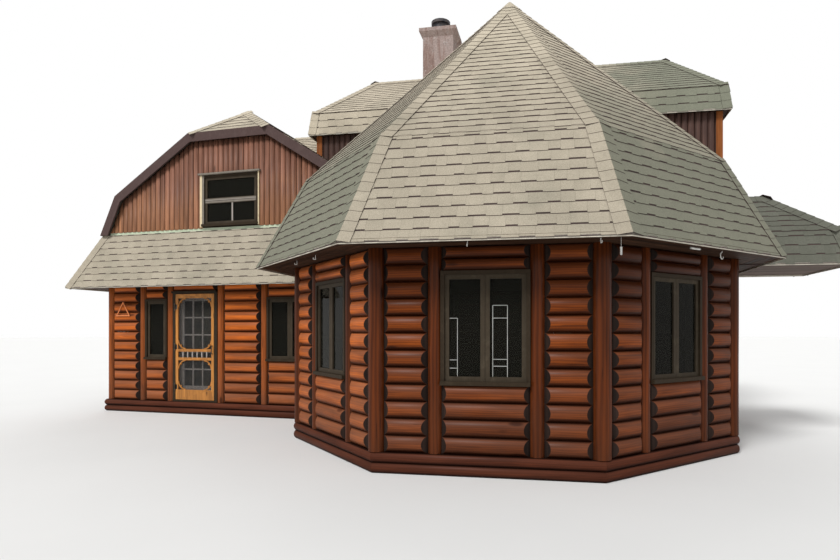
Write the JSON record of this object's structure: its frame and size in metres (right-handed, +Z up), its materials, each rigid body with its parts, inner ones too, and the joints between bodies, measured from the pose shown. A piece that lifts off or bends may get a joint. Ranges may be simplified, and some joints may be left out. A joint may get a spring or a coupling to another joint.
{
  "type": "log cabin",
  "caption": "Log cabin with an eight-sided pavilion, a gambrel-roofed wing, a taller hipped block behind, a canopy over its side door and a front door with a hinged screen door.",
  "frame": {"origin": "on the ground below the pavilion's centre", "axes": "+X to the right along the pavilion's front wall, +Y inwards from the front, +Z up"},
  "size_m": [13.5709, 10.1345, 8.22],
  "materials": {
    "log_wood": "stained, semi-gloss",
    "post_wood": "stained, semi-gloss",
    "board_wood": "stained half-log boards",
    "soffit_wood": "stained boards",
    "floor_wood": "planed boards",
    "trim_wood": "dark brown paint",
    "window_wood": "brown paint",
    "screen_wood": "ochre stain",
    "door_paint": "grey-taupe paint",
    "shingle": "laminated mineral shingles",
    "flashing_paint": "pale green paint",
    "cap_metal": "matt paint",
    "chimney_render": "worn render over brick",
    "flue_metal": "brown, weathered",
    "glass": "clear",
    "mesh": "fine insect mesh",
    "fittings": "dull",
    "triangle_paint": "orange paint"
  },
  "bodies": {
    "building": {"back_gable_wall": "board_wood", "block_back_logs": "log_wood", "block_posts": "post_wood", "block_roof": "shingle", "block_side_logs": "log_wood", "block_soffit": "soffit_wood", "block_upper_walls": "board_wood", "canopy_roof": "shingle", "canopy_soffit": "soffit_wood", "chimney": "chimney_render", "chimney_flue": "flue_metal", "dinner_triangle": "triangle_paint", "front_door_frame": "trim_wood", "front_door_hinges": "fittings", "front_gable_wall": "board_wood", "ground_floor": "floor_wood", "pavilion_corner_posts": "post_wood", "pavilion_front_left_logs": "log_wood", "pavilion_front_logs": "log_wood", "pavilion_front_right_logs": "log_wood", "pavilion_left_logs": "log_wood", "pavilion_peak_cap": "cap_metal", "pavilion_right_logs": "log_wood", "pavilion_roof": "shingle", "pavilion_soffit": "soffit_wood", "pavilion_window_posts": "post_wood", "saddle_roof": "shingle", "side_door": "door_paint", "side_door_frame": "trim_wood", "side_door_knobs": "fittings", "sill_logs": "log_wood", "upper_floor": "floor_wood", "window_frames": "window_wood", "window_glass": "glass", "window_sashes": "window_wood", "wing_back_logs": "log_wood", "wing_fascia": "trim_wood", "wing_flashing": "flashing_paint", "wing_front_logs": "log_wood", "wing_left_logs": "log_wood", "wing_posts": "post_wood", "wing_right_logs": "log_wood", "wing_roof": "shingle", "wing_soffit": "soffit_wood"},
    "entrance_door": {"entrance_door": "door_paint", "entrance_door_fittings": "fittings", "entrance_door_glass": "glass"},
    "screen_door": {"screen_door": "screen_wood", "screen_door_fittings": "fittings", "screen_door_mesh": "mesh"}
  },
  "joints": [
    {"name": "screen_door_hinge", "type": "hinge", "parent": "building", "child": "screen_door", "pos_m": [-6.52869, 0.62022, 0.275], "axis": [0, 0, -1], "range_deg": [0, 110]},
    {"name": "entrance_door_hinge", "type": "hinge", "parent": "building", "child": "entrance_door", "pos_m": [-6.51484, 0.77861, 0.275], "axis": [0, 0, 1], "range_deg": [0, 95]}
  ]
}
